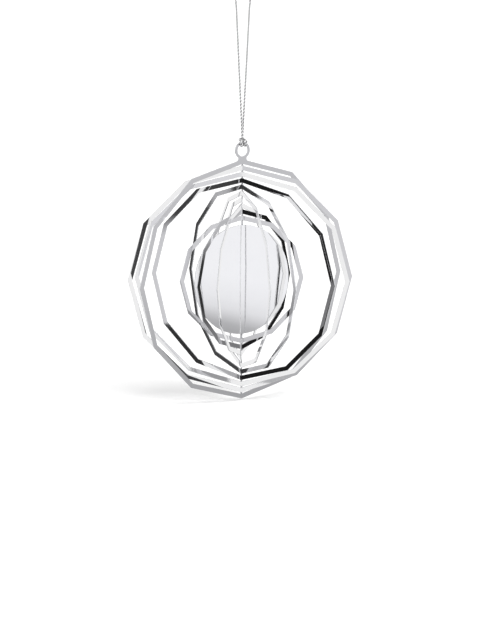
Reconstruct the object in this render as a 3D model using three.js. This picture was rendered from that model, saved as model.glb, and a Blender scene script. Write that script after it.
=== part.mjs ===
import * as THREE from 'three';

// A hanging bauble of flat polished rings, one inside the next, round a mirror disc.
// Every ring is turned by hand to its own angle about the hanging axis.
// Millimetres, +Z up. The origin is inside the top of the cord's loop, where a hook carries it.

// Sheet that the rings and the disc are cut from
const SHEET_THICKNESS = 0.45;

// Rings, from the outermost in: twelve-sided, with a corner at the top and at the bottom
const RING_SIDES = 12;
const OUTER_RING_RADIUS = 50; // centre to corner
const RING_BAND = 1.85; // width of a ring, square to its edges
const RING_GAP = 0.65; // slit between a ring and the next one in, square to their edges
const DISC_GAP = 1.2; // slit between the flats of the innermost ring and the disc
const DISC_SIDES = 96;

// Turn of each ring about the hanging axis, from the outermost in, and of the disc, in degrees
const RING_TURNS = [34, 10.1, -6, -25.9, -56, -71.5, -83.5, -108.5, -131.2, -163.7];
const DISC_TURN = -148.5;

// Bend of each ring along its upright middle line: one half is turned on by this, the other half back
const FOLD_TURNS = [0, 3.9, 0, 0.9, 0, 0, -7.5, 0, 2.4, 0];

// Necks that join neighbours at the top and bottom corners and take the twist between them
const NECK_WIDTH = 0.6;
const NECK_CLEARANCE = 0.05;
const NECK_STEPS = 4;

// Eyelet that stands on the top corner of the outermost ring, in its plane
const EYE_HOLE_RADIUS = 2.55;
const EYE_RIM = 1.05;
const STEM_HEIGHT = 0.16; // from the ring's corner to the lowest point of the eyelet's rim
const STEM_WIDTH = 3.8;
const STEM_FILLET = 0.9;
const ARC_STEPS = 16; // steps in half of a round outline
const SAME_POINT = 1e-6; // points closer than this are one

// Cord: a slim twisted yarn, doubled into a loop and hitched to the eyelet
const CORD_DIAMETER = 1;
const CORD_SIDES = 8;
const CORD_STEP_DIAMETERS = 2.4;
const CORD_GAP = 0.3; // between the cord's ends and the hitch

// Hitch: each strand goes down behind the eyelet's rim, through the eyelet, up before the rim and
// over it, and the two arms close in a bight that lies across the back of both strands
const HITCH_CLEARANCE = 0.28; // between the cord and the corners of the rim's section
const STRAND_GAP = 0.14; // between the two strands
const STRANDS_TURN = 45; // of the pair of strands from the rim's direction, where they leave the hitch
const STRAND_RISE = 0.4; // of the strands above the bight
const BIGHT_RISE = 2.05; // of the bight's middle above the middle of the rim
const BIGHT_GAP = 0.15; // between the bight and the strands before it
const HITCH_STEP_DIAMETERS = 0.35;

// Route of the cord from the hitch up its left strand, over the loop's top and down its right strand
const CORD_ROUTE = [
  [-0.1, -0.52, -60.377],
  [-0.15, -0.52, -59.4],
  [-0.27, -0.5, -57],
  [-0.42, -0.45, -54],
  [-0.62, -0.36, -50],
  [-0.82, -0.28, -46],
  [-1.06, -0.2, -41],
  [-1.46, -0.1, -33],
  [-1.85, -0.05, -25],
  [-2.29, -0.02, -16],
  [-2.62, 0, -9],
  [-2.8, 0, -2.3],
  [-1.98, 0, -0.32],
  [0, 0, 0.5],
  [1.98, 0, -0.32],
  [2.8, 0, -2.3],
  [2.62, 0, -9],
  [2.29, 0.02, -16],
  [1.85, 0.05, -25],
  [1.46, 0.1, -33],
  [1.06, 0.2, -41],
  [0.82, 0.28, -46],
  [0.62, 0.36, -50],
  [0.42, 0.45, -54],
  [0.27, 0.5, -57],
  [0.15, 0.52, -59.4],
  [0.1, 0.52, -60.377],
];

// Sizes worked out from the driving dimensions
const HALF_SIDE_ANGLE = Math.PI / RING_SIDES;
const CORNER_STRETCH = 1 / Math.cos(HALF_SIDE_ANGLE); // a width square to an edge, measured at a corner
const RING_PITCH = (RING_BAND + RING_GAP) * CORNER_STRETCH;
const RING_COUNT = RING_TURNS.length;
const EYE_RADIUS = EYE_HOLE_RADIUS + EYE_RIM;
const EYE_RISE = EYE_RADIUS + STEM_HEIGHT; // of the eyelet's centre above the ring's corner
const RIM_REACH = Math.hypot(EYE_RIM, SHEET_THICKNESS) / 2;
const WRAP_RADIUS = RIM_REACH + HITCH_CLEARANCE + CORD_DIAMETER / 2;
const HITCH_TOP = BIGHT_RISE + CORD_DIAMETER / 2 + STRAND_RISE; // above the middle of the rim
const STRAND_SPACING = CORD_DIAMETER + STRAND_GAP;
const ARM_SPACING = STRAND_SPACING + 2 * CORD_DIAMETER;
const BIGHT_REACH = WRAP_RADIUS / 2 + CORD_DIAMETER + BIGHT_GAP; // behind the middle of the rim
const CORD_FOOT = CORD_ROUTE[0][2];
const RIM_HEIGHT = CORD_FOOT - CORD_GAP - HITCH_TOP;
const EYE_HEIGHT = RIM_HEIGHT - EYE_HOLE_RADIUS - EYE_RIM / 2;
const CENTRE_HEIGHT = EYE_HEIGHT - EYE_RISE - OUTER_RING_RADIUS;

const outerRadius = (index) => OUTER_RING_RADIUS - index * RING_PITCH;
const innerRadius = (index) => outerRadius(index) - RING_BAND * CORNER_STRETCH;
const DISC_RADIUS = innerRadius(RING_COUNT - 1) / CORNER_STRETCH - DISC_GAP;

const HANGING_AXIS = new THREE.Vector3(0, 0, 1);

const POLISHED = { color: 0xc9cbd0, roughness: 0.08, metalness: 1 };
const YARN = { color: 0xb4b5ba, roughness: 0.5, metalness: 0.4 };

function makeMesh(name, geometry, look) {
  const mesh = new THREE.Mesh(geometry, new THREE.MeshStandardMaterial(look));
  mesh.name = name;
  return mesh;
}

// Corners of a regular outline, counterclockwise from the top
function corners(radius, sides) {
  return Array.from({ length: sides }, (_, i) => {
    const angle = (2 * Math.PI * i) / sides;
    return new THREE.Vector2(-radius * Math.sin(angle), radius * Math.cos(angle));
  });
}

// A flat outline as sheet, standing upright with its middle plane on the hanging axis
function standingSheet(shape) {
  const geometry = new THREE.ExtrudeGeometry(shape, {
    depth: SHEET_THICKNESS,
    bevelEnabled: false,
  });
  geometry.translate(0, 0, -SHEET_THICKNESS / 2);
  return geometry.rotateX(Math.PI / 2);
}

// Points of an outline, without the doubles where its stretches meet
function outlinePoints(path) {
  const points = path.getPoints(ARC_STEPS);
  return points.filter((point, i) => point.distanceTo(points.at(i - 1)) > SAME_POINT);
}

// Bends a standing sheet along the hanging axis, with its corners there on the mitre of both halves
function foldSheet(geometry, fold) {
  const angle = THREE.MathUtils.degToRad(fold);
  const position = geometry.attributes.position;
  const point = new THREE.Vector3();
  for (let i = 0; i < position.count; i += 1) {
    point.fromBufferAttribute(position, i);
    if (Math.abs(point.x) < SAME_POINT) {
      point.y /= Math.cos(angle);
    } else {
      point.applyAxisAngle(HANGING_AXIS, Math.sign(point.x) * angle);
    }
    position.setXYZ(i, point.x, point.y, point.z);
  }
  return geometry;
}

function ringGeometry(index) {
  const shape = new THREE.Shape(corners(outerRadius(index), RING_SIDES));
  shape.holes.push(new THREE.Path(corners(innerRadius(index), RING_SIDES)));
  return foldSheet(standingSheet(shape), FOLD_TURNS[index]);
}

// The outermost ring's outline runs up its stem and round the eyelet at the top corner
function outerRingGeometry() {
  const half = STEM_WIDTH / 2;
  const edgeHeight = (x) => OUTER_RING_RADIUS - x * Math.tan(HALF_SIDE_ANGLE);
  const eyeCentre = OUTER_RING_RADIUS + EYE_RISE;
  const drop = Math.sqrt(EYE_RADIUS ** 2 - half ** 2);
  const start = half + STEM_FILLET;

  const shape = new THREE.Shape();
  shape.moveTo(-start, edgeHeight(start));
  for (const corner of corners(OUTER_RING_RADIUS, RING_SIDES).slice(1)) {
    shape.lineTo(corner.x, corner.y);
  }
  shape.lineTo(start, edgeHeight(start));
  shape.quadraticCurveTo(half, edgeHeight(half), half, eyeCentre - drop);
  shape.absarc(0, eyeCentre, EYE_RADIUS, Math.atan2(-drop, half), Math.atan2(-drop, -half));
  shape.quadraticCurveTo(-half, edgeHeight(half), -start, edgeHeight(start));

  const eyeHole = new THREE.Path().absarc(0, eyeCentre, EYE_HOLE_RADIUS, 0, 2 * Math.PI);
  const sheet = new THREE.Shape(outlinePoints(shape));
  sheet.holes.push(new THREE.Path(corners(innerRadius(0), RING_SIDES)));
  sheet.holes.push(new THREE.Path(outlinePoints(eyeHole)));
  return standingSheet(sheet);
}

function discGeometry() {
  return new THREE.CylinderGeometry(DISC_RADIUS, DISC_RADIUS, SHEET_THICKNESS, DISC_SIDES);
}

// A neck is a strip of the sheet, turned from its inner end's angle to its outer end's along its length.
// Each end has its height at the middle, its turn and its slope, which follows the corner that it meets.
function neckGeometry(inner, outer, turnSign) {
  const { lerp, degToRad } = THREE.MathUtils;
  const geometry = new THREE.BoxGeometry(NECK_WIDTH, SHEET_THICKNESS, 1, 2, 1, NECK_STEPS);
  const position = geometry.attributes.position;
  for (let i = 0; i < position.count; i += 1) {
    const x = position.getX(i);
    const y = position.getY(i);
    const along = position.getZ(i) + 0.5;
    const turn = turnSign * degToRad(lerp(inner.turn, outer.turn, along));
    const height = lerp(inner.height, outer.height, along) - Math.abs(x) * lerp(inner.slope, outer.slope, along);
    position.setXYZ(
      i,
      x * Math.cos(turn) - y * Math.sin(turn),
      x * Math.sin(turn) + y * Math.cos(turn),
      height,
    );
  }
  return geometry;
}

// The two necks inside ring number index, at its top and bottom corners
function makeNecks(index) {
  const slope = Math.tan(HALF_SIDE_ANGLE);
  const outer = { height: innerRadius(index) - NECK_CLEARANCE, turn: RING_TURNS[index], slope };
  const isLast = index === RING_COUNT - 1;
  const inner = isLast
    ? { height: DISC_RADIUS + NECK_CLEARANCE, turn: DISC_TURN, slope: 0 }
    : { height: outerRadius(index + 1) + NECK_CLEARANCE, turn: RING_TURNS[index + 1], slope };
  const label = `neck_${twoDigits(index + 1)}`;
  const top = neckGeometry(inner, outer, 1);
  const bottom = neckGeometry(inner, outer, -1).rotateX(Math.PI);
  return [makeMesh(`${label}_top`, top, POLISHED), makeMesh(`${label}_bottom`, bottom, POLISHED)];
}

function twoDigits(number) {
  return String(number).padStart(2, '0');
}

// A length of cord along a route, cut square at both ends
function cordAlong(points, stepDiameters) {
  const route = new THREE.CatmullRomCurve3(points);
  const section = new THREE.Shape(corners(CORD_DIAMETER / 2, CORD_SIDES));
  const steps = Math.round(route.getLength() / (stepDiameters * CORD_DIAMETER));
  return new THREE.ExtrudeGeometry(section, { steps, bevelEnabled: false, extrudePath: route });
}

// Half of the hitch, from the top of one strand to the shoulder of the bight.
// X runs along the eyelet's rim, -Y is its back and the middle of the rim is the origin.
function hitchHalf(side) {
  const { lerp, degToRad } = THREE.MathUtils;
  const strand = STRAND_SPACING / 2;
  const arm = ARM_SPACING / 2;
  const topAlong = strand * Math.cos(degToRad(STRANDS_TURN));
  const topBack = side * strand * Math.sin(degToRad(STRANDS_TURN));
  const points = [
    [topAlong, topBack, HITCH_TOP],
    [topAlong, topBack - 0.1 * WRAP_RADIUS, HITCH_TOP - CORD_DIAMETER / 2],
    [strand, -0.75 * WRAP_RADIUS, 0.75 * WRAP_RADIUS],
  ];
  const turnSteps = 6;
  for (let i = 0; i <= turnSteps; i += 1) {
    const share = i / turnSteps;
    const angle = 1.5 * Math.PI * share; // from behind, under the rim and up before it to its top
    const along = lerp(strand, arm, share);
    points.push([along, -WRAP_RADIUS * Math.cos(angle), -WRAP_RADIUS * Math.sin(angle)]);
  }
  points.push([1.05 * arm, -0.6 * BIGHT_REACH, 0.63 * BIGHT_RISE]);
  points.push([0.66 * arm, -0.98 * BIGHT_REACH, 0.83 * BIGHT_RISE]);
  return points.map(([x, y, z]) => new THREE.Vector3(side * x, y, z));
}

function hitchGeometry() {
  const bight = new THREE.Vector3(0, -BIGHT_REACH, BIGHT_RISE);
  return cordAlong([...hitchHalf(-1), bight, ...hitchHalf(1).reverse()], HITCH_STEP_DIAMETERS);
}

function cordGeometry() {
  return cordAlong(
    CORD_ROUTE.map((point) => new THREE.Vector3(...point)),
    CORD_STEP_DIAMETERS,
  );
}

const bauble = new THREE.Group();
bauble.position.z = CENTRE_HEIGHT;

const outerRing = makeMesh('outer_ring', outerRingGeometry(), POLISHED);
outerRing.rotation.z = THREE.MathUtils.degToRad(RING_TURNS[0]);
bauble.add(outerRing);

for (let index = 1; index < RING_COUNT; index += 1) {
  const ring = makeMesh(`ring_${twoDigits(index + 1)}`, ringGeometry(index), POLISHED);
  ring.rotation.z = THREE.MathUtils.degToRad(RING_TURNS[index]);
  bauble.add(ring);
}

const disc = makeMesh('centre_disc', discGeometry(), POLISHED);
disc.rotation.z = THREE.MathUtils.degToRad(DISC_TURN);
bauble.add(disc);

for (let index = 0; index < RING_COUNT; index += 1) {
  bauble.add(...makeNecks(index));
}

const hitch = makeMesh('cord_hitch', hitchGeometry(), YARN);
hitch.position.z = RIM_HEIGHT;
hitch.rotation.z = THREE.MathUtils.degToRad(RING_TURNS[0] + 180);

const cord = makeMesh('hanging_cord', cordGeometry(), YARN);

const hangingBauble = new THREE.Group();
hangingBauble.add(bauble, hitch, cord);

export default hangingBauble;
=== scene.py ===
import math

import bmesh
import bpy
import numpy as np
from mathutils import Matrix, Quaternion, Vector
from mathutils.kdtree import KDTree


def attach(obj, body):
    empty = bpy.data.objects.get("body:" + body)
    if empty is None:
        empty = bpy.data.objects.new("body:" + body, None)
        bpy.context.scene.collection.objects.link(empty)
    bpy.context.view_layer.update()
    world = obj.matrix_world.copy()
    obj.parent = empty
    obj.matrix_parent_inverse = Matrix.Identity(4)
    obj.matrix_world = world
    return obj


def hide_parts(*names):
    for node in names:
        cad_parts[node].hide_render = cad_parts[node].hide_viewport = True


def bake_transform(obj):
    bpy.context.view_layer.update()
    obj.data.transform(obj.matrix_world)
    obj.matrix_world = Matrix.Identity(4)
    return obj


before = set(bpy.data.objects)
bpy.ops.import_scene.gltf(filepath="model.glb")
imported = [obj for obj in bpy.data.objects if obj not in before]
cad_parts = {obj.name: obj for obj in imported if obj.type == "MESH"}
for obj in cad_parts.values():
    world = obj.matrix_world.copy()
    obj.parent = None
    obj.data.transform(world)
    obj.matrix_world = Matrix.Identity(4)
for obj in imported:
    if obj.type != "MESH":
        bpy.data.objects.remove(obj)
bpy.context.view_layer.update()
scene = bpy.context.scene
scene.view_settings.view_transform = "Standard"


# Camera.
# A long lens looks down a little on the bauble, which fills the upper middle of the picture.
# It is tilted by a quarter of a degree, so that the hanging axis leans to the right.
BAUBLE_CENTRE = Vector((0, 0, -0.12046))
CAMERA_DISTANCE = 1.547
CAMERA_ELEVATION = math.radians(7.92)
CAMERA_ROLL = math.radians(0.25)
PICTURE_MIDDLE_RIGHT = -0.00067  # of the bauble's centre
PICTURE_MIDDLE_UP = -0.01682
LENS_MM = 210.04
SENSOR_MM = 36

camera_back = Vector((0, -math.cos(CAMERA_ELEVATION), math.sin(CAMERA_ELEVATION)))
camera_up = Vector((0, math.sin(CAMERA_ELEVATION), math.cos(CAMERA_ELEVATION)))
picture_middle = BAUBLE_CENTRE + Vector((PICTURE_MIDDLE_RIGHT, 0, 0)) + camera_up * PICTURE_MIDDLE_UP
camera = bpy.data.objects.new("camera", bpy.data.cameras.new("camera"))
camera.location = BAUBLE_CENTRE + camera_back * CAMERA_DISTANCE
look = (picture_middle - camera.location).to_track_quat("-Z", "Y")
camera.rotation_mode = "QUATERNION"
camera.rotation_quaternion = look @ Quaternion((0, 0, 1), CAMERA_ROLL)
camera.data.lens = LENS_MM
camera.data.sensor_width = SENSOR_MM
scene.collection.objects.link(camera)
scene.camera = camera


# Silver cord.
# One length of two-ply metallic yarn, doubled into a loop that hangs on a hook just above the picture.
# A cow hitch ties it to the eyelet. The bend that closes the hitch, its bight, lies behind the strands.
CORD_DIAMETER = 0.001
PLY_RADIUS = 0.00025
PLY_OFFSET = 0.000225  # of each ply's middle from the cord's
PLY_ROUNDNESS = 3
LAY_LENGTH = 0.0028  # one full turn of the two plies
LAY_START = (0.3, 0.2, 0.9)  # sets how the plies lie at the cord's first point
CORD_STEP = 0.00012  # between the rings of points along a ply
CURVE_STEPS = 24  # between two points of the route
MERGE_DISTANCE = 1e-7
LEFT_STRAND = [
    (-0.00011, -0.00054, -0.0607),
    (-0.00015, -0.00052, -0.0594),
    (-0.00027, -0.0005, -0.057),
    (-0.00042, -0.00045, -0.054),
    (-0.00062, -0.00036, -0.05),
    (-0.00082, -0.00028, -0.046),
    (-0.00106, -0.0002, -0.041),
    (-0.00146, -0.0001, -0.033),
    (-0.00185, -0.00005, -0.025),
    (-0.00229, -0.00002, -0.016),
    (-0.00262, 0, -0.009),
    (-0.0028, 0, -0.0023),
    (-0.00198, 0, -0.00032),
]
LOOP_TOP = (0, 0, 0.0005)
CORD_ROUTE = [*LEFT_STRAND, LOOP_TOP, *[(-x, -y, z) for x, y, z in reversed(LEFT_STRAND)]]

RIM_HEIGHT = -0.063627  # of the middle of the eyelet's rim, at its top
HITCH_TURN = math.radians(214)  # the outer ring's, and half a turn more
HITCH_TOP = 0.00295  # above the rim's middle
WRAP_RADIUS = 0.00135
WRAP_TURN = 1.5 * math.pi  # from behind, under the rim and up before it to its top
WRAP_STEPS = 6
SPREAD_STEPS = 4  # until the strands lie as far apart as the arms
STRAND_OUT = 0.0005
STRAND_LEAN = 0.1 * WRAP_RADIUS  # to the back, at the hitch's top
STRANDS_TURN = math.radians(45)  # of the pair of strands from the rim's direction, at the hitch's top
SHOULDER = 0.75 * WRAP_RADIUS  # behind and above the rim's middle, where the strands bend down
ARM_OUT = 0.0012
BIGHT_BEHIND = 0.001825
BIGHT_RISE = 0.0015
BIGHT_BENDS = [(1.05, 0.6, 0.6), (0.68, 0.98, 0.85)]  # shares of those three, from each arm to the bight
KNOT_PULL = -0.0007  # of the knot's back along the rim
END_TUCK = 2  # steps of the hitch's ends inside the cord's
TUCK_SHARE = 0.85  # of a ply's thickness left there

# The yarn's silver is darkened in the groove between the plies: painted shade, where the two plies shade
# each other.
PAINTED_GROOVE_SHADE = (0.16, 0.16, 0.17, 1)
YARN_SILVER = (1, 1, 1, 1)
YARN_METALLIC = 0.2
YARN_ROUGHNESS = (0.5, 0.22)  # from dull fibres to shiny ones
PAINTED_SHADE_RANGE = (-0.6, 0.8)  # from the painted shade in the groove between the plies to the yarn's own silver on top of them
FIBRE_STRETCH = (7, 7, 1.1)  # of the noise, per ply radius across and per millimetre along
FIBRE_RANGE = (0.35, 0.65)  # of the noise, from dull fibres to shiny ones
FIBRE_SHADE = (0.8, 1)
FIBRE_DEPTH = 0.00006
PLY_SHIFT = 5  # millimetres along the noise, so that the two plies differ

# The hitch's points round the rim, from the top of the right strand to the top of the left one.
# Each strand goes down behind the rim, through the eyelet, up before it and back over it to the bight.
hitch_halves = []
for side in (-1, 1):
    along = side * STRAND_OUT * math.cos(STRANDS_TURN)
    back = side * STRAND_OUT * math.sin(STRANDS_TURN)
    half = [
        (along, back - STRAND_LEAN, HITCH_TOP - 0.5 * CORD_DIAMETER),
        (side * STRAND_OUT + KNOT_PULL, -SHOULDER, SHOULDER),
    ]
    for step in range(WRAP_STEPS + 1):
        turn = WRAP_TURN * step / WRAP_STEPS
        spread = min(1, step / SPREAD_STEPS)
        out = side * (STRAND_OUT + (ARM_OUT - STRAND_OUT) * spread) + KNOT_PULL * (1 - spread)
        half.append((out, -WRAP_RADIUS * math.cos(turn), -WRAP_RADIUS * math.sin(turn)))
    for out, behind, up in BIGHT_BENDS:
        half.append((side * out * ARM_OUT + KNOT_PULL, -behind * BIGHT_BEHIND, up * BIGHT_RISE))
    hitch_halves.append(half)
bight = (KNOT_PULL, -BIGHT_BEHIND, BIGHT_RISE)
hitch_points = [*hitch_halves[0], bight, *reversed(hitch_halves[1])]
hitch_place = Matrix.Translation((0, 0, RIM_HEIGHT)) @ Matrix.Rotation(HITCH_TURN, 4, "Z")
hitch_route = [hitch_place @ Vector(place) for place in hitch_points]


def mesh_from(name, curve):
    """The curve's mesh, which takes the place of the curve."""
    holder = bpy.data.objects.new(name, curve)
    mesh = bpy.data.meshes.new_from_object(holder)
    mesh.name = name
    bpy.data.objects.remove(holder)
    bpy.data.curves.remove(curve)
    return mesh


# The whole cord is one closed line, through the loop and the hitch.
curve = bpy.data.curves.new("cord_line", "CURVE")
curve.dimensions = "3D"
curve.resolution_u = CURVE_STEPS
spline = curve.splines.new("BEZIER")
spline.use_cyclic_u = True
spline.bezier_points.add(len(CORD_ROUTE) + len(hitch_route) - 1)
for knot, place in zip(spline.bezier_points, CORD_ROUTE + hitch_route):
    knot.handle_left_type = "AUTO"
    knot.handle_right_type = "AUTO"
    knot.co = place
curve_mesh = mesh_from("cord_line", curve)
curve_line = np.array([v.co for v in curve_mesh.vertices])
curve_line = np.concatenate([curve_line, curve_line[:1]])
bpy.data.meshes.remove(curve_mesh)

curve_run = np.concatenate([[0], np.cumsum(np.linalg.norm(np.diff(curve_line, axis=0), axis=1))])
loop_run = curve_run[CURVE_STEPS * (len(CORD_ROUTE) - 1)]
loop_steps = round(loop_run / CORD_STEP)
hitch_steps = round((curve_run[-1] - loop_run) / CORD_STEP)
cord_run = np.concatenate([
    np.linspace(0, loop_run, loop_steps + 1),
    np.linspace(loop_run, curve_run[-1], hitch_steps + 1)[1:],
])
cord_line = np.stack([np.interp(cord_run, curve_run, curve_line[:, k]) for k in range(3)], axis=1)

# The way from the cord's middle to its first ply turns evenly along the line, and closes on itself.
# The two plies are alike, so it may end half a turn from where it started.
cord_way = np.gradient(cord_line, axis=0)
cord_way[0] = cord_way[-1] = cord_way[0] + cord_way[-1]
cord_way /= np.linalg.norm(cord_way, axis=1)[:, None]
side_way = np.cross(cord_way[0], LAY_START)
side_ways = []
for way in cord_way:
    side_way = side_way - way * (side_way @ way)
    side_way = side_way / np.linalg.norm(side_way)
    side_ways.append(side_way)
side_ways = np.array(side_ways)
front_ways = np.cross(cord_way, side_ways)
ply_turn = 2 * math.pi * cord_run / LAY_LENGTH
turn_back = math.atan2(side_ways[0] @ front_ways[-1], side_ways[0] @ side_ways[-1])
misfit = (ply_turn[-1] - turn_back + 0.5 * math.pi) % math.pi - 0.5 * math.pi
ply_turn -= misfit * cord_run / cord_run[-1]
ply_way = side_ways * np.cos(ply_turn)[:, None] + front_ways * np.sin(ply_turn)[:, None]


def new_finish(name):
    """A new material that has only a shader and its output, with its node tree and that shader."""
    finish = bpy.data.materials.new(name)
    finish.use_nodes = True
    return finish, finish.node_tree, finish.node_tree.nodes["Principled BSDF"]


def add_node(tree, kind, **inputs):
    """A node of that kind, with the named input values."""
    node = tree.nodes.new(kind)
    for key, value in inputs.items():
        node.inputs[key.replace("_", " ")].default_value = value
    return node


def map_range(tree, source, target=(0, 1)):
    """A node that maps values in the first range to the second."""
    return add_node(
        tree,
        "ShaderNodeMapRange",
        From_Min=source[0],
        From_Max=source[1],
        To_Min=target[0],
        To_Max=target[1],
    )


yarn, yarn_tree, yarn_shader = new_finish("silver_yarn")
yarn_ply = add_node(yarn_tree, "ShaderNodeAttribute")
yarn_ply.attribute_name = "on_ply"
yarn_parts = add_node(yarn_tree, "ShaderNodeSeparateXYZ")
# Painted shade: the base colour darkens towards the groove between the plies, by how far out a point
# lies on its ply.
yarn_painted_shade = map_range(yarn_tree, PAINTED_SHADE_RANGE)
yarn_painted_shade.interpolation_type = "SMOOTHSTEP"
yarn_stretch = add_node(yarn_tree, "ShaderNodeMapping", Scale=FIBRE_STRETCH)
yarn_fibre = add_node(yarn_tree, "ShaderNodeTexNoise", Scale=1, Detail=3, Roughness=0.65)
yarn_film = map_range(yarn_tree, FIBRE_RANGE, FIBRE_SHADE)
yarn_shade = add_node(yarn_tree, "ShaderNodeMath")
yarn_shade.operation = "MULTIPLY"
yarn_ramp = add_node(yarn_tree, "ShaderNodeValToRGB")
yarn_ramp.color_ramp.elements[0].color = PAINTED_GROOVE_SHADE
yarn_ramp.color_ramp.elements[1].color = YARN_SILVER
yarn_rough = map_range(yarn_tree, FIBRE_RANGE, YARN_ROUGHNESS)
yarn_bump = add_node(yarn_tree, "ShaderNodeBump", Strength=0.9, Distance=FIBRE_DEPTH)
yarn_tree.links.new(yarn_ply.outputs["Vector"], yarn_parts.inputs["Vector"])
yarn_tree.links.new(yarn_parts.outputs["X"], yarn_painted_shade.inputs["Value"])
yarn_tree.links.new(yarn_ply.outputs["Vector"], yarn_stretch.inputs["Vector"])
yarn_tree.links.new(yarn_stretch.outputs["Vector"], yarn_fibre.inputs["Vector"])
yarn_tree.links.new(yarn_fibre.outputs["Fac"], yarn_film.inputs["Value"])
yarn_tree.links.new(yarn_painted_shade.outputs["Result"], yarn_shade.inputs[0])
yarn_tree.links.new(yarn_film.outputs["Result"], yarn_shade.inputs[1])
yarn_tree.links.new(yarn_shade.outputs["Value"], yarn_ramp.inputs["Fac"])
yarn_tree.links.new(yarn_ramp.outputs["Color"], yarn_shader.inputs["Base Color"])
yarn_tree.links.new(yarn_fibre.outputs["Fac"], yarn_rough.inputs["Value"])
yarn_tree.links.new(yarn_rough.outputs["Result"], yarn_shader.inputs["Roughness"])
yarn_tree.links.new(yarn_fibre.outputs["Fac"], yarn_bump.inputs["Height"])
yarn_tree.links.new(yarn_bump.outputs["Normal"], yarn_shader.inputs["Normal"])
yarn_shader.inputs["Metallic"].default_value = YARN_METALLIC


def twisted_cord(name, first, last, tuck):
    """A piece of both plies between two points of the line, thinner in the steps that go past them.
    Its attribute on_ply holds how far out each point lies on its ply, from -1 in the groove to 1
    outside, its place across the ply and its millimetres along it."""
    steps = np.arange(first - tuck, last + tuck + 1)
    points = steps % (len(cord_line) - 1)
    line = cord_line[points]
    outward = ply_way[points]
    across = np.cross(cord_way, ply_way)[points]
    run = cord_run[np.minimum(steps, len(cord_line) - 1)]
    curve = bpy.data.curves.new(name, "CURVE")
    curve.dimensions = "3D"
    curve.bevel_depth = PLY_RADIUS
    curve.bevel_resolution = PLY_ROUNDNESS
    curve.use_fill_caps = True
    for way in (1, -1):
        spline = curve.splines.new("POLY")
        spline.points.add(len(line) - 1)
        for knot, place, step in zip(spline.points, line + way * PLY_OFFSET * outward, steps):
            knot.co = (*place, 1)
            knot.radius = 1 if first <= step <= last else TUCK_SHARE
    mesh = mesh_from(name, curve)
    bm = bmesh.new()
    bm.from_mesh(mesh)
    bmesh.ops.remove_doubles(bm, verts=bm.verts, dist=MERGE_DISTANCE)
    for face in bm.faces:
        face.smooth = True
    bm.to_mesh(mesh)
    bm.free()

    nearest = KDTree(len(line))
    for index, place in enumerate(line):
        nearest.insert(place, index)
    nearest.balance()
    on_ply = np.zeros((len(mesh.vertices), 3))
    for number, vertex in enumerate(mesh.vertices):
        index = nearest.find(vertex.co)[1]
        off = np.array(vertex.co) - line[index]
        out = off @ outward[index]
        way = 1 if out > 0 else -1
        on_ply[number, 0] = (way * out - PLY_OFFSET) / PLY_RADIUS
        on_ply[number, 1] = way * (off @ across[index]) / PLY_RADIUS
        on_ply[number, 2] = 1000 * run[index] + PLY_SHIFT * way
    place_on_ply = mesh.attributes.new("on_ply", "FLOAT_VECTOR", "POINT")
    place_on_ply.data.foreach_set("vector", on_ply.ravel())
    mesh.materials.append(yarn)
    piece = bpy.data.objects.new(name, mesh)
    scene.collection.objects.link(piece)
    return piece


hitch = twisted_cord("cow_hitch", loop_steps, loop_steps + hitch_steps, END_TUCK)
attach(hitch, "hitch")
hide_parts("cord_hitch")
cord = twisted_cord("twisted_cord", 0, loop_steps, 0)
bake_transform(cord)
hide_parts("hanging_cord")


# Rings and disc.
# Ten twelve-sided rings and a disc, cut from one polished sheet of steel by thin slits.
# Their faces are mirrors, and the cut edges are half matt, with a small break along each arris.
RING_TURNS = (34, 10.1, -6, -25.9, -56, -71.5, -83.5, -108.5, -131.2, -163.7)
DISC_TURN = -148.5
ARRIS_BREAK = 0.00005
ONE_PLANE = math.radians(1)  # triangles that turn by less are joined
POLISHED_FACE = 0.5  # a polished face's normal has more than this much of the sheet's
FLAT_FACE = 0.98  # a flat face's normal has at least this much of the sheet's
ROUND_STEP = math.radians(15)  # edges of round outlines turn by less
RUB_RANGE = (0.15, 0.4)  # of the marks, from clean metal to rubbed

# How rubbed the metal is and how high it stands, from long polishing lines, haze and slow waves.
marks = bpy.data.node_groups.new("polishing_marks", "ShaderNodeTree")
marks.interface.new_socket("Place", in_out="INPUT", socket_type="NodeSocketVector")
marks.interface.new_socket("Line Count", in_out="INPUT", socket_type="NodeSocketFloat")
marks.interface.new_socket("Wave Count", in_out="INPUT", socket_type="NodeSocketFloat")
marks.interface.new_socket("Rub", in_out="OUTPUT", socket_type="NodeSocketFloat")
marks.interface.new_socket("Height", in_out="OUTPUT", socket_type="NodeSocketFloat")
marks_in = add_node(marks, "NodeGroupInput")
marks_out = add_node(marks, "NodeGroupOutput")
marks_stretch = add_node(marks, "ShaderNodeMapping", Rotation=(0.5, 0.3, 0), Scale=(1, 1, 0.03))
marks_lines = add_node(marks, "ShaderNodeTexNoise", Detail=4, Roughness=0.7)
marks_haze = add_node(marks, "ShaderNodeTexNoise", Scale=160, Detail=5, Roughness=0.65)
marks_wave = add_node(marks, "ShaderNodeTexNoise", Detail=1, Roughness=0.4)
marks_rub = add_node(marks, "ShaderNodeMath")
marks_rub.operation = "MULTIPLY"
marks.links.new(marks_in.outputs["Place"], marks_stretch.inputs["Vector"])
marks.links.new(marks_stretch.outputs["Vector"], marks_lines.inputs["Vector"])
marks.links.new(marks_in.outputs["Line Count"], marks_lines.inputs["Scale"])
marks.links.new(marks_in.outputs["Place"], marks_haze.inputs["Vector"])
marks.links.new(marks_in.outputs["Place"], marks_wave.inputs["Vector"])
marks.links.new(marks_in.outputs["Wave Count"], marks_wave.inputs["Scale"])
marks.links.new(marks_lines.outputs["Fac"], marks_rub.inputs[0])
marks.links.new(marks_haze.outputs["Fac"], marks_rub.inputs[1])
marks.links.new(marks_rub.outputs["Value"], marks_out.inputs["Rub"])
marks.links.new(marks_wave.outputs["Fac"], marks_out.inputs["Height"])


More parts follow.
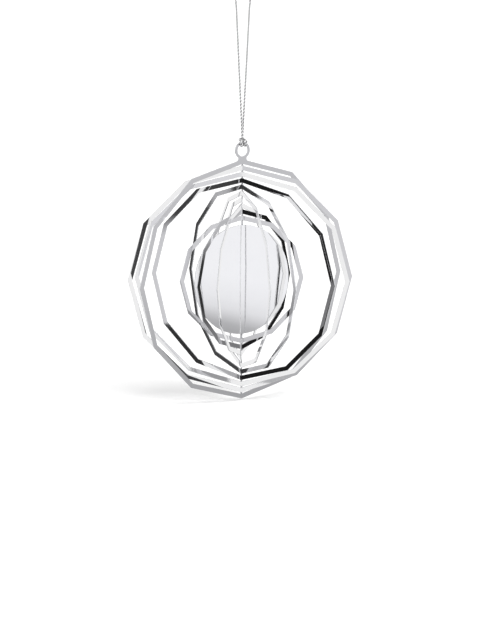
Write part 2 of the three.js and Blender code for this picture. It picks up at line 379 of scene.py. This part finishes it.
def marked_metal(name, lines, waves, depth, tones, roughness, metallic=1):
    """A metal whose tone and roughness run from the first value to the second where it is rubbed."""
    finish, tree, shader = new_finish(name)
    place = add_node(tree, "ShaderNodeTexCoord")
    rubbed = add_node(tree, "ShaderNodeGroup")
    rubbed.node_tree = marks
    rubbed.inputs["Line Count"].default_value = lines
    rubbed.inputs["Wave Count"].default_value = waves
    tone = add_node(tree, "ShaderNodeValToRGB")
    for element, position, colour in zip(tone.color_ramp.elements, RUB_RANGE, tones):
        element.position = position
        element.color = colour
    rough = map_range(tree, RUB_RANGE, roughness)
    bump = add_node(tree, "ShaderNodeBump", Strength=1, Distance=depth)
    tree.links.new(place.outputs["Object"], rubbed.inputs["Place"])
    tree.links.new(rubbed.outputs["Rub"], tone.inputs["Fac"])
    tree.links.new(tone.outputs["Color"], shader.inputs["Base Color"])
    tree.links.new(rubbed.outputs["Rub"], rough.inputs["Value"])
    tree.links.new(rough.outputs["Result"], shader.inputs["Roughness"])
    tree.links.new(rubbed.outputs["Height"], bump.inputs["Height"])
    tree.links.new(bump.outputs["Normal"], shader.inputs["Normal"])
    shader.inputs["Metallic"].default_value = metallic
    return finish


polished = marked_metal(
    "polished_sheet",
    lines=4200,
    waves=55,
    depth=0.00002,
    tones=((0.95, 0.95, 0.955, 1), (0.93, 0.93, 0.94, 1)),
    roughness=(0.012, 0.06),
)
cut_edge = marked_metal(
    "cut_edge",
    lines=9000,
    waves=2500,
    depth=0.000006,
    tones=((0.91, 0.915, 0.94, 1), (0.77, 0.775, 0.8, 1)),
    roughness=(0.16, 0.3),
    metallic=0.5,
)


def cut_sheet(name, node, turn):
    """The node's sheet with broken arrises, its faces polished and its cut edges half matt."""
    bm = bmesh.new()
    bm.from_mesh(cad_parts[node].data)
    bmesh.ops.remove_doubles(bm, verts=bm.verts, dist=MERGE_DISTANCE)
    bmesh.ops.join_triangles(
        bm,
        faces=bm.faces,
        angle_face_threshold=ONE_PLANE,
        angle_shape_threshold=math.pi,
    )
    face_way = Vector((math.sin(turn), -math.cos(turn), 0))
    for face in bm.faces:
        face.material_index = 0 if abs(face.normal.dot(face_way)) > POLISHED_FACE else 1
    arrises = [e for e in bm.edges if len({f.material_index for f in e.link_faces}) == 2]
    bmesh.ops.bevel(
        bm,
        geom=arrises,
        offset=ARRIS_BREAK,
        offset_type="OFFSET",
        segments=2,
        profile=0.5,
        affect="EDGES",
        material=-1,
        clamp_overlap=True,
    )
    for face in bm.faces:
        face.smooth = abs(face.normal.dot(face_way)) < FLAT_FACE
    for edge in bm.edges:
        edge.smooth = edge.calc_face_angle(math.pi) < ROUND_STEP
    mesh = bpy.data.meshes.new(name)
    bm.to_mesh(mesh)
    bm.free()
    if "custom_normal" in mesh.attributes:
        mesh.attributes.remove(mesh.attributes["custom_normal"])
    mesh.materials.append(polished)
    mesh.materials.append(cut_edge)
    piece = bpy.data.objects.new(name, mesh)
    scene.collection.objects.link(piece)
    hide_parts(node)
    return piece


def ring_body(number):
    """The body of a ring, counted from the outside in."""
    return "outer_ring" if number == 1 else f"ring_{number:02d}"


for number, turn in enumerate(RING_TURNS, start=1):
    ring = cut_sheet(f"polished_ring_{number:02d}", ring_body(number), math.radians(turn))
    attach(ring, ring_body(number))

disc = cut_sheet("polished_disc", "centre_disc", math.radians(DISC_TURN))
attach(disc, "disc")


# Necks.
# Two short bridges of the sheet, left uncut at the top and bottom corners between neighbours.
# They take the whole twist between one ring and the next, and flare where they run into the rings.
NECK_WIDTH = 0.0006
NECK_FLARE = 0.0005  # more width at each end
FLARE_POWER = 3
NECK_THICKNESS = 0.0004
NECK_SINK = 0.00025  # of each end into the ring that it joins
NECK_ROWS = 14
NECK_ARRIS = 0.00008
MOST_POINTS = 1000  # more than a neck's mesh has
OUTER_CORNER = 0.05
CORNER_PITCH = 0.002588
BAND_AT_CORNER = 0.001915
DISC_RADIUS = 0.022742

# The necks' metal is darker and rougher than the sheet's.
dark_neck_metal = marked_metal(
    "dark_neck_metal",
    lines=7000,
    waves=900,
    depth=0.00001,
    tones=((0.62, 0.62, 0.64, 1), (0.48, 0.48, 0.5, 1)),
    roughness=(0.12, 0.28),
)


def long_edges(bm, least):
    """The edges that rise by more than the least."""
    return [e for e in bm.edges if abs(e.verts[0].co.z - e.verts[1].co.z) > least]


def face_rank(face):
    """A number of the face's own to sort it by, from its first three points."""
    first, second, third = sorted(v.index for v in face.verts)[:3]
    return (first * MOST_POINTS + second) * MOST_POINTS + third


for number in range(1, len(RING_TURNS) + 1):
    innermost = number == len(RING_TURNS)
    outer_turn = math.radians(RING_TURNS[number - 1])
    inner_turn = math.radians(DISC_TURN if innermost else RING_TURNS[number])
    outer_end = OUTER_CORNER - (number - 1) * CORNER_PITCH - BAND_AT_CORNER
    inner_end = DISC_RADIUS if innermost else OUTER_CORNER - number * CORNER_PITCH
    low = inner_end - NECK_SINK
    high = outer_end + NECK_SINK
    half_length = 0.5 * (high - low)
    for end, way in (("top", 1), ("bottom", -1)):
        bm = bmesh.new()
        bmesh.ops.create_cube(bm, size=1)
        bmesh.ops.scale(bm, verts=bm.verts, vec=(NECK_WIDTH, NECK_THICKNESS, high - low))
        bmesh.ops.translate(bm, verts=bm.verts, vec=(0, 0, 0.5 * (low + high)))
        bmesh.ops.bevel(
            bm,
            geom=long_edges(bm, half_length),
            offset=NECK_ARRIS,
            offset_type="OFFSET",
            segments=2,
            profile=0.5,
            affect="EDGES",
            material=-1,
        )
        bmesh.ops.subdivide_edges(
            bm,
            edges=long_edges(bm, half_length),
            cuts=NECK_ROWS - 1,
            use_grid_fill=True,
        )
        bm.verts.index_update()
        bm.faces.sort(key=face_rank)  # the subdivision leaves them in no fixed order
        for vert in bm.verts:
            height = vert.co.z
            share = min(1, max(0, (height - inner_end) / (outer_end - inner_end)))
            flare = 1 + NECK_FLARE / NECK_WIDTH * abs(2 * share - 1) ** FLARE_POWER
            turn = inner_turn + (outer_turn - inner_turn) * share
            flat = Vector((vert.co.x * flare, vert.co.y, way * height))
            vert.co = BAUBLE_CENTRE + Matrix.Rotation(turn, 3, "Z") @ flat
        bmesh.ops.recalc_face_normals(bm, faces=bm.faces)
        for face in bm.faces:
            face.smooth = len(face.verts) == 4
        name = f"twisted_neck_{number:02d}_{end}"
        mesh = bpy.data.meshes.new(name)
        bm.to_mesh(mesh)
        bm.free()
        mesh.materials.append(dark_neck_metal)
        neck = bpy.data.objects.new(name, mesh)
        scene.collection.objects.link(neck)
        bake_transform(neck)
        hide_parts(f"neck_{number:02d}_{end}")


# Floor.
# A matt white table top just under the bauble, which shows only the bauble's soft shadow.
# It glows a little for the camera, so that it runs into the white room without an edge.
FLOOR_HEIGHT = -0.1713
FLOOR_HALF = 9
FLOOR_WHITE = (0.8, 0.8, 0.8, 1)
FLOOR_GLOW = 0.22

bm = bmesh.new()
bmesh.ops.create_grid(bm, x_segments=1, y_segments=1, size=FLOOR_HALF)
bmesh.ops.translate(bm, verts=bm.verts, vec=(0, 0, FLOOR_HEIGHT))
floor_mesh = bpy.data.meshes.new("floor")
bm.to_mesh(floor_mesh)
bm.free()
table, table_tree, table_shader = new_finish("white_table")
table_shader.inputs["Base Color"].default_value = FLOOR_WHITE
table_shader.inputs["Roughness"].default_value = 1
table_shader.inputs["Specular IOR Level"].default_value = 0
table_shader.inputs["Emission Color"].default_value = (1, 1, 1, 1)
table_path = add_node(table_tree, "ShaderNodeLightPath")
table_glow = add_node(table_tree, "ShaderNodeMath")
table_glow.operation = "MULTIPLY"
table_glow.inputs[1].default_value = FLOOR_GLOW
table_tree.links.new(table_path.outputs["Is Camera Ray"], table_glow.inputs[0])
table_tree.links.new(table_glow.outputs["Value"], table_shader.inputs["Emission Strength"])
floor_mesh.materials.append(table)
floor = bpy.data.objects.new("floor", floor_mesh)
floor.visible_glossy = False
scene.collection.objects.link(floor)


# Studio cards.
# Black, grey and pale cards stand round the table, out of the picture, and show in the mirrors.
# They are curved about the hanging axis, and only mirrors see them, so that they throw no light.
FAR_CARDS = 0.45  # metres from the hanging axis
NEAR_CARDS = 0.15
CARD_FOOT = -0.19  # heights of a whole card's edges, from the bauble's centre
CARD_TOP = 0.06
FULL = (CARD_FOOT, CARD_TOP)
CARD_STEP = 2  # degrees between the upright edges of a card's faces
BLACK = 0.012
DARK = 0.05
CARD_TINT = (1, 1, 1.03, 1)
SOFT_BOX_TINT = (1, 1.003, 1.028, 1)


def grey_ramp(tree, stops):
    """A ramp node through pairs of a position and a grey."""
    ramp = add_node(tree, "ShaderNodeValToRGB")
    while len(ramp.color_ramp.elements) < len(stops):
        ramp.color_ramp.elements.new(0.5)
    for element, (position, grey) in zip(ramp.color_ramp.elements, stops):
        element.position = position
        element.color = (grey, grey, grey, 1)
    return ramp


def studio_card(name, around, heights, level, lean=0, distance=FAR_CARDS, tint=CARD_TINT):
    """A card between two angles in degrees round to the right from the camera and two heights.
    Its level is one number, or pairs of a height and a level from its foot up, that lean across it."""
    first, last = around
    bm = bmesh.new()
    low = bm.verts.new((0, -distance, BAUBLE_CENTRE.z + heights[0]))
    high = bm.verts.new((0, -distance, BAUBLE_CENTRE.z + heights[1]))
    edge = bm.edges.new((low, high))
    bmesh.ops.rotate(bm, verts=bm.verts, matrix=Matrix.Rotation(math.radians(first), 3, "Z"))
    bmesh.ops.spin(
        bm,
        geom=[low, high, edge],
        axis=(0, 0, 1),
        angle=math.radians(last - first),
        steps=max(2, round((last - first) / CARD_STEP)),
    )
    mesh = bpy.data.meshes.new(name)
    bm.to_mesh(mesh)
    bm.free()
    finish, tree, shader = new_finish(name)
    shader.inputs["Base Color"].default_value = (0, 0, 0, 1)
    shader.inputs["Specular IOR Level"].default_value = 0
    shader.inputs["Emission Color"].default_value = tint
    if isinstance(level, tuple):
        middle = math.radians(0.5 * (first + last))
        slope = math.tan(lean)
        foot = level[0][0]
        top = level[-1][0]
        place = add_node(tree, "ShaderNodeTexCoord")
        rise = add_node(tree, "ShaderNodeVectorMath")
        rise.operation = "DOT_PRODUCT"
        rise.inputs[1].default_value = (slope * math.cos(middle), slope * math.sin(middle), 1)
        share = map_range(tree, (BAUBLE_CENTRE.z + foot, BAUBLE_CENTRE.z + top))
        shade = grey_ramp(tree, [((height - foot) / (top - foot), grey) for height, grey in level])
        tree.links.new(place.outputs["Object"], rise.inputs[0])
        tree.links.new(rise.outputs["Value"], share.inputs["Value"])
        tree.links.new(share.outputs["Result"], shade.inputs["Fac"])
        tree.links.new(shade.outputs["Color"], shader.inputs["Emission Strength"])
    else:
        shader.inputs["Emission Strength"].default_value = level
    mesh.materials.append(finish)
    card = bpy.data.objects.new(name, mesh)
    card.visible_camera = False
    card.visible_diffuse = False
    card.visible_shadow = False
    card.visible_transmission = False
    scene.collection.objects.link(card)


studio_card("front_grey", (-20, -12), (-0.105, CARD_TOP), 0.71)
studio_card("front_grey_foot", (-15.5, -12.8), (-0.125, -0.105), 0.33)
studio_card("left_front_flag", (-53.9, -38), FULL, BLACK)
studio_card("left_side_light", (-66, -53.9), (-0.086, -0.02), ((-0.038, 0.62), (-0.028, DARK)))
studio_card("left_side_flag_top", (-66, -53.9), (-0.02, CARD_TOP), DARK)
studio_card("left_side_flag_foot", (-66, -56), (CARD_FOOT, -0.086), 0.03)
studio_card("left_side_grey", (-56, -53.9), (CARD_FOOT, -0.086), 0.43)
studio_card("left_grey", (-104, -66), FULL, 0.55)
studio_card("left_rear_light", (-110.8, -104), (-0.104, CARD_TOP), ((-0.075, 0.3), (-0.05, 0.75)))
studio_card("left_rear_grey", (-111.3, -104), (CARD_FOOT, -0.104), 0.5)
studio_card("left_rear_flag_top", (-112.7, -110.8), (-0.024, CARD_TOP), 0.04)
studio_card("left_rear_light_middle", (-112.2, -110.8), (-0.104, -0.024), 0.55)
studio_card("left_rear_flag_foot", (-112.2, -111.3), (CARD_FOOT, -0.104), 0.04)
studio_card("left_rear_grey_top", (-114, -112.7), (-0.022, CARD_TOP), 0.45)
studio_card("left_rear_flag", (-132, -112.2), (CARD_FOOT, -0.024), 0.06)
studio_card("left_rear_dark", (-132, -114), (-0.024, CARD_TOP), 0.16)
studio_card("right_front_grey", (27, 40), (-0.119, CARD_TOP), ((-0.11, 0.45), (-0.085, 0.64)))
studio_card("right_grey", (40, 88), FULL, ((-0.125, 0.38), (-0.06, 0.55)))
studio_card("right_flag", (88, 97.6), FULL, BLACK)
studio_card(
    "right_side_fade",
    (97.6, 106),
    FULL,
    ((-0.092, 0.2), (-0.078, 0.03), (-0.054, 0.03), (-0.036, 0.5)),
)
studio_card("right_rear_flag", (106, 118), (-0.063, CARD_TOP), 0.02)
studio_card("right_rear_flag_foot", (106, 118), (CARD_FOOT, -0.063), 0.2)
studio_card("right_rear_grey", (118, 124), FULL, 0.5)
studio_card(
    "soft_box",
    (54.3, 71.5),
    (-0.049, 0.008),
    (
        (-0.0455, 0.415),
        (-0.0425, 0.468),
        (-0.0375, 0.71),
        (-0.0355, 0.785),
        (-0.0305, 0.86),
        (-0.0205, 0.925),
    ),
    lean=math.radians(14),
    distance=NEAR_CARDS,
    tint=SOFT_BOX_TINT,
)


# Studio light.
# A white room gives soft light from all round, and one large lamp at the right front casts the shadow.
# In mirrors its walls are nearly white at eye level and shade to grey above and below.
ROOM_WHITE = 1  # as the camera sees it
ROOM_LIGHT = 0.8
ROOM_IN_MIRRORS = [  # height of the direction, from 0 straight down to 1 straight up, and its grey
    (0.1, 0.3),
    (0.32, 0.6),
    (0.365, 0.9),
    (0.54, 0.9),
    (0.61, 0.62),
    (0.85, 0.3),
]
LAMP_STRENGTH = 1.9
LAMP_SPREAD = math.radians(26)
LAMP_HEIGHT = math.radians(51)
LAMP_RIGHT = math.radians(47)

room = bpy.data.worlds.new("white_room")
room.use_nodes = True
scene.world = room
room_tree = room.node_tree
room_light = room_tree.nodes["Background"]
room_light.inputs["Color"].default_value = (1, 1, 1, 1)
room_path = add_node(room_tree, "ShaderNodeLightPath")
room_way = add_node(room_tree, "ShaderNodeTexCoord")
room_parts = add_node(room_tree, "ShaderNodeSeparateXYZ")
room_height = map_range(room_tree, (-1, 1))
room_walls = grey_ramp(room_tree, ROOM_IN_MIRRORS)
room_mirror = add_node(room_tree, "ShaderNodeMapRange", To_Min=ROOM_LIGHT)
room_seen = add_node(room_tree, "ShaderNodeMix", B=ROOM_WHITE)
room_tree.links.new(room_way.outputs["Generated"], room_parts.inputs["Vector"])
room_tree.links.new(room_parts.outputs["Z"], room_height.inputs["Value"])
room_tree.links.new(room_height.outputs["Result"], room_walls.inputs["Fac"])
room_tree.links.new(room_walls.outputs["Color"], room_mirror.inputs["To Max"])
room_tree.links.new(room_path.outputs["Is Glossy Ray"], room_mirror.inputs["Value"])
room_tree.links.new(room_path.outputs["Is Camera Ray"], room_seen.inputs["Factor"])
room_tree.links.new(room_mirror.outputs["Result"], room_seen.inputs["A"])
room_tree.links.new(room_seen.outputs["Result"], room_light.inputs["Strength"])

lamp = bpy.data.objects.new("lamp", bpy.data.lights.new("lamp", "SUN"))
lamp.data.energy = LAMP_STRENGTH
lamp.data.angle = LAMP_SPREAD
lamp_from = Vector((
    math.cos(LAMP_HEIGHT) * math.sin(LAMP_RIGHT),
    -math.cos(LAMP_HEIGHT) * math.cos(LAMP_RIGHT),
    math.sin(LAMP_HEIGHT),
))
lamp.rotation_mode = "QUATERNION"
lamp.rotation_quaternion = lamp_from.to_track_quat("Z", "Y")
lamp.visible_glossy = False
scene.collection.objects.link(lamp)


bpy.context.view_layer.update()
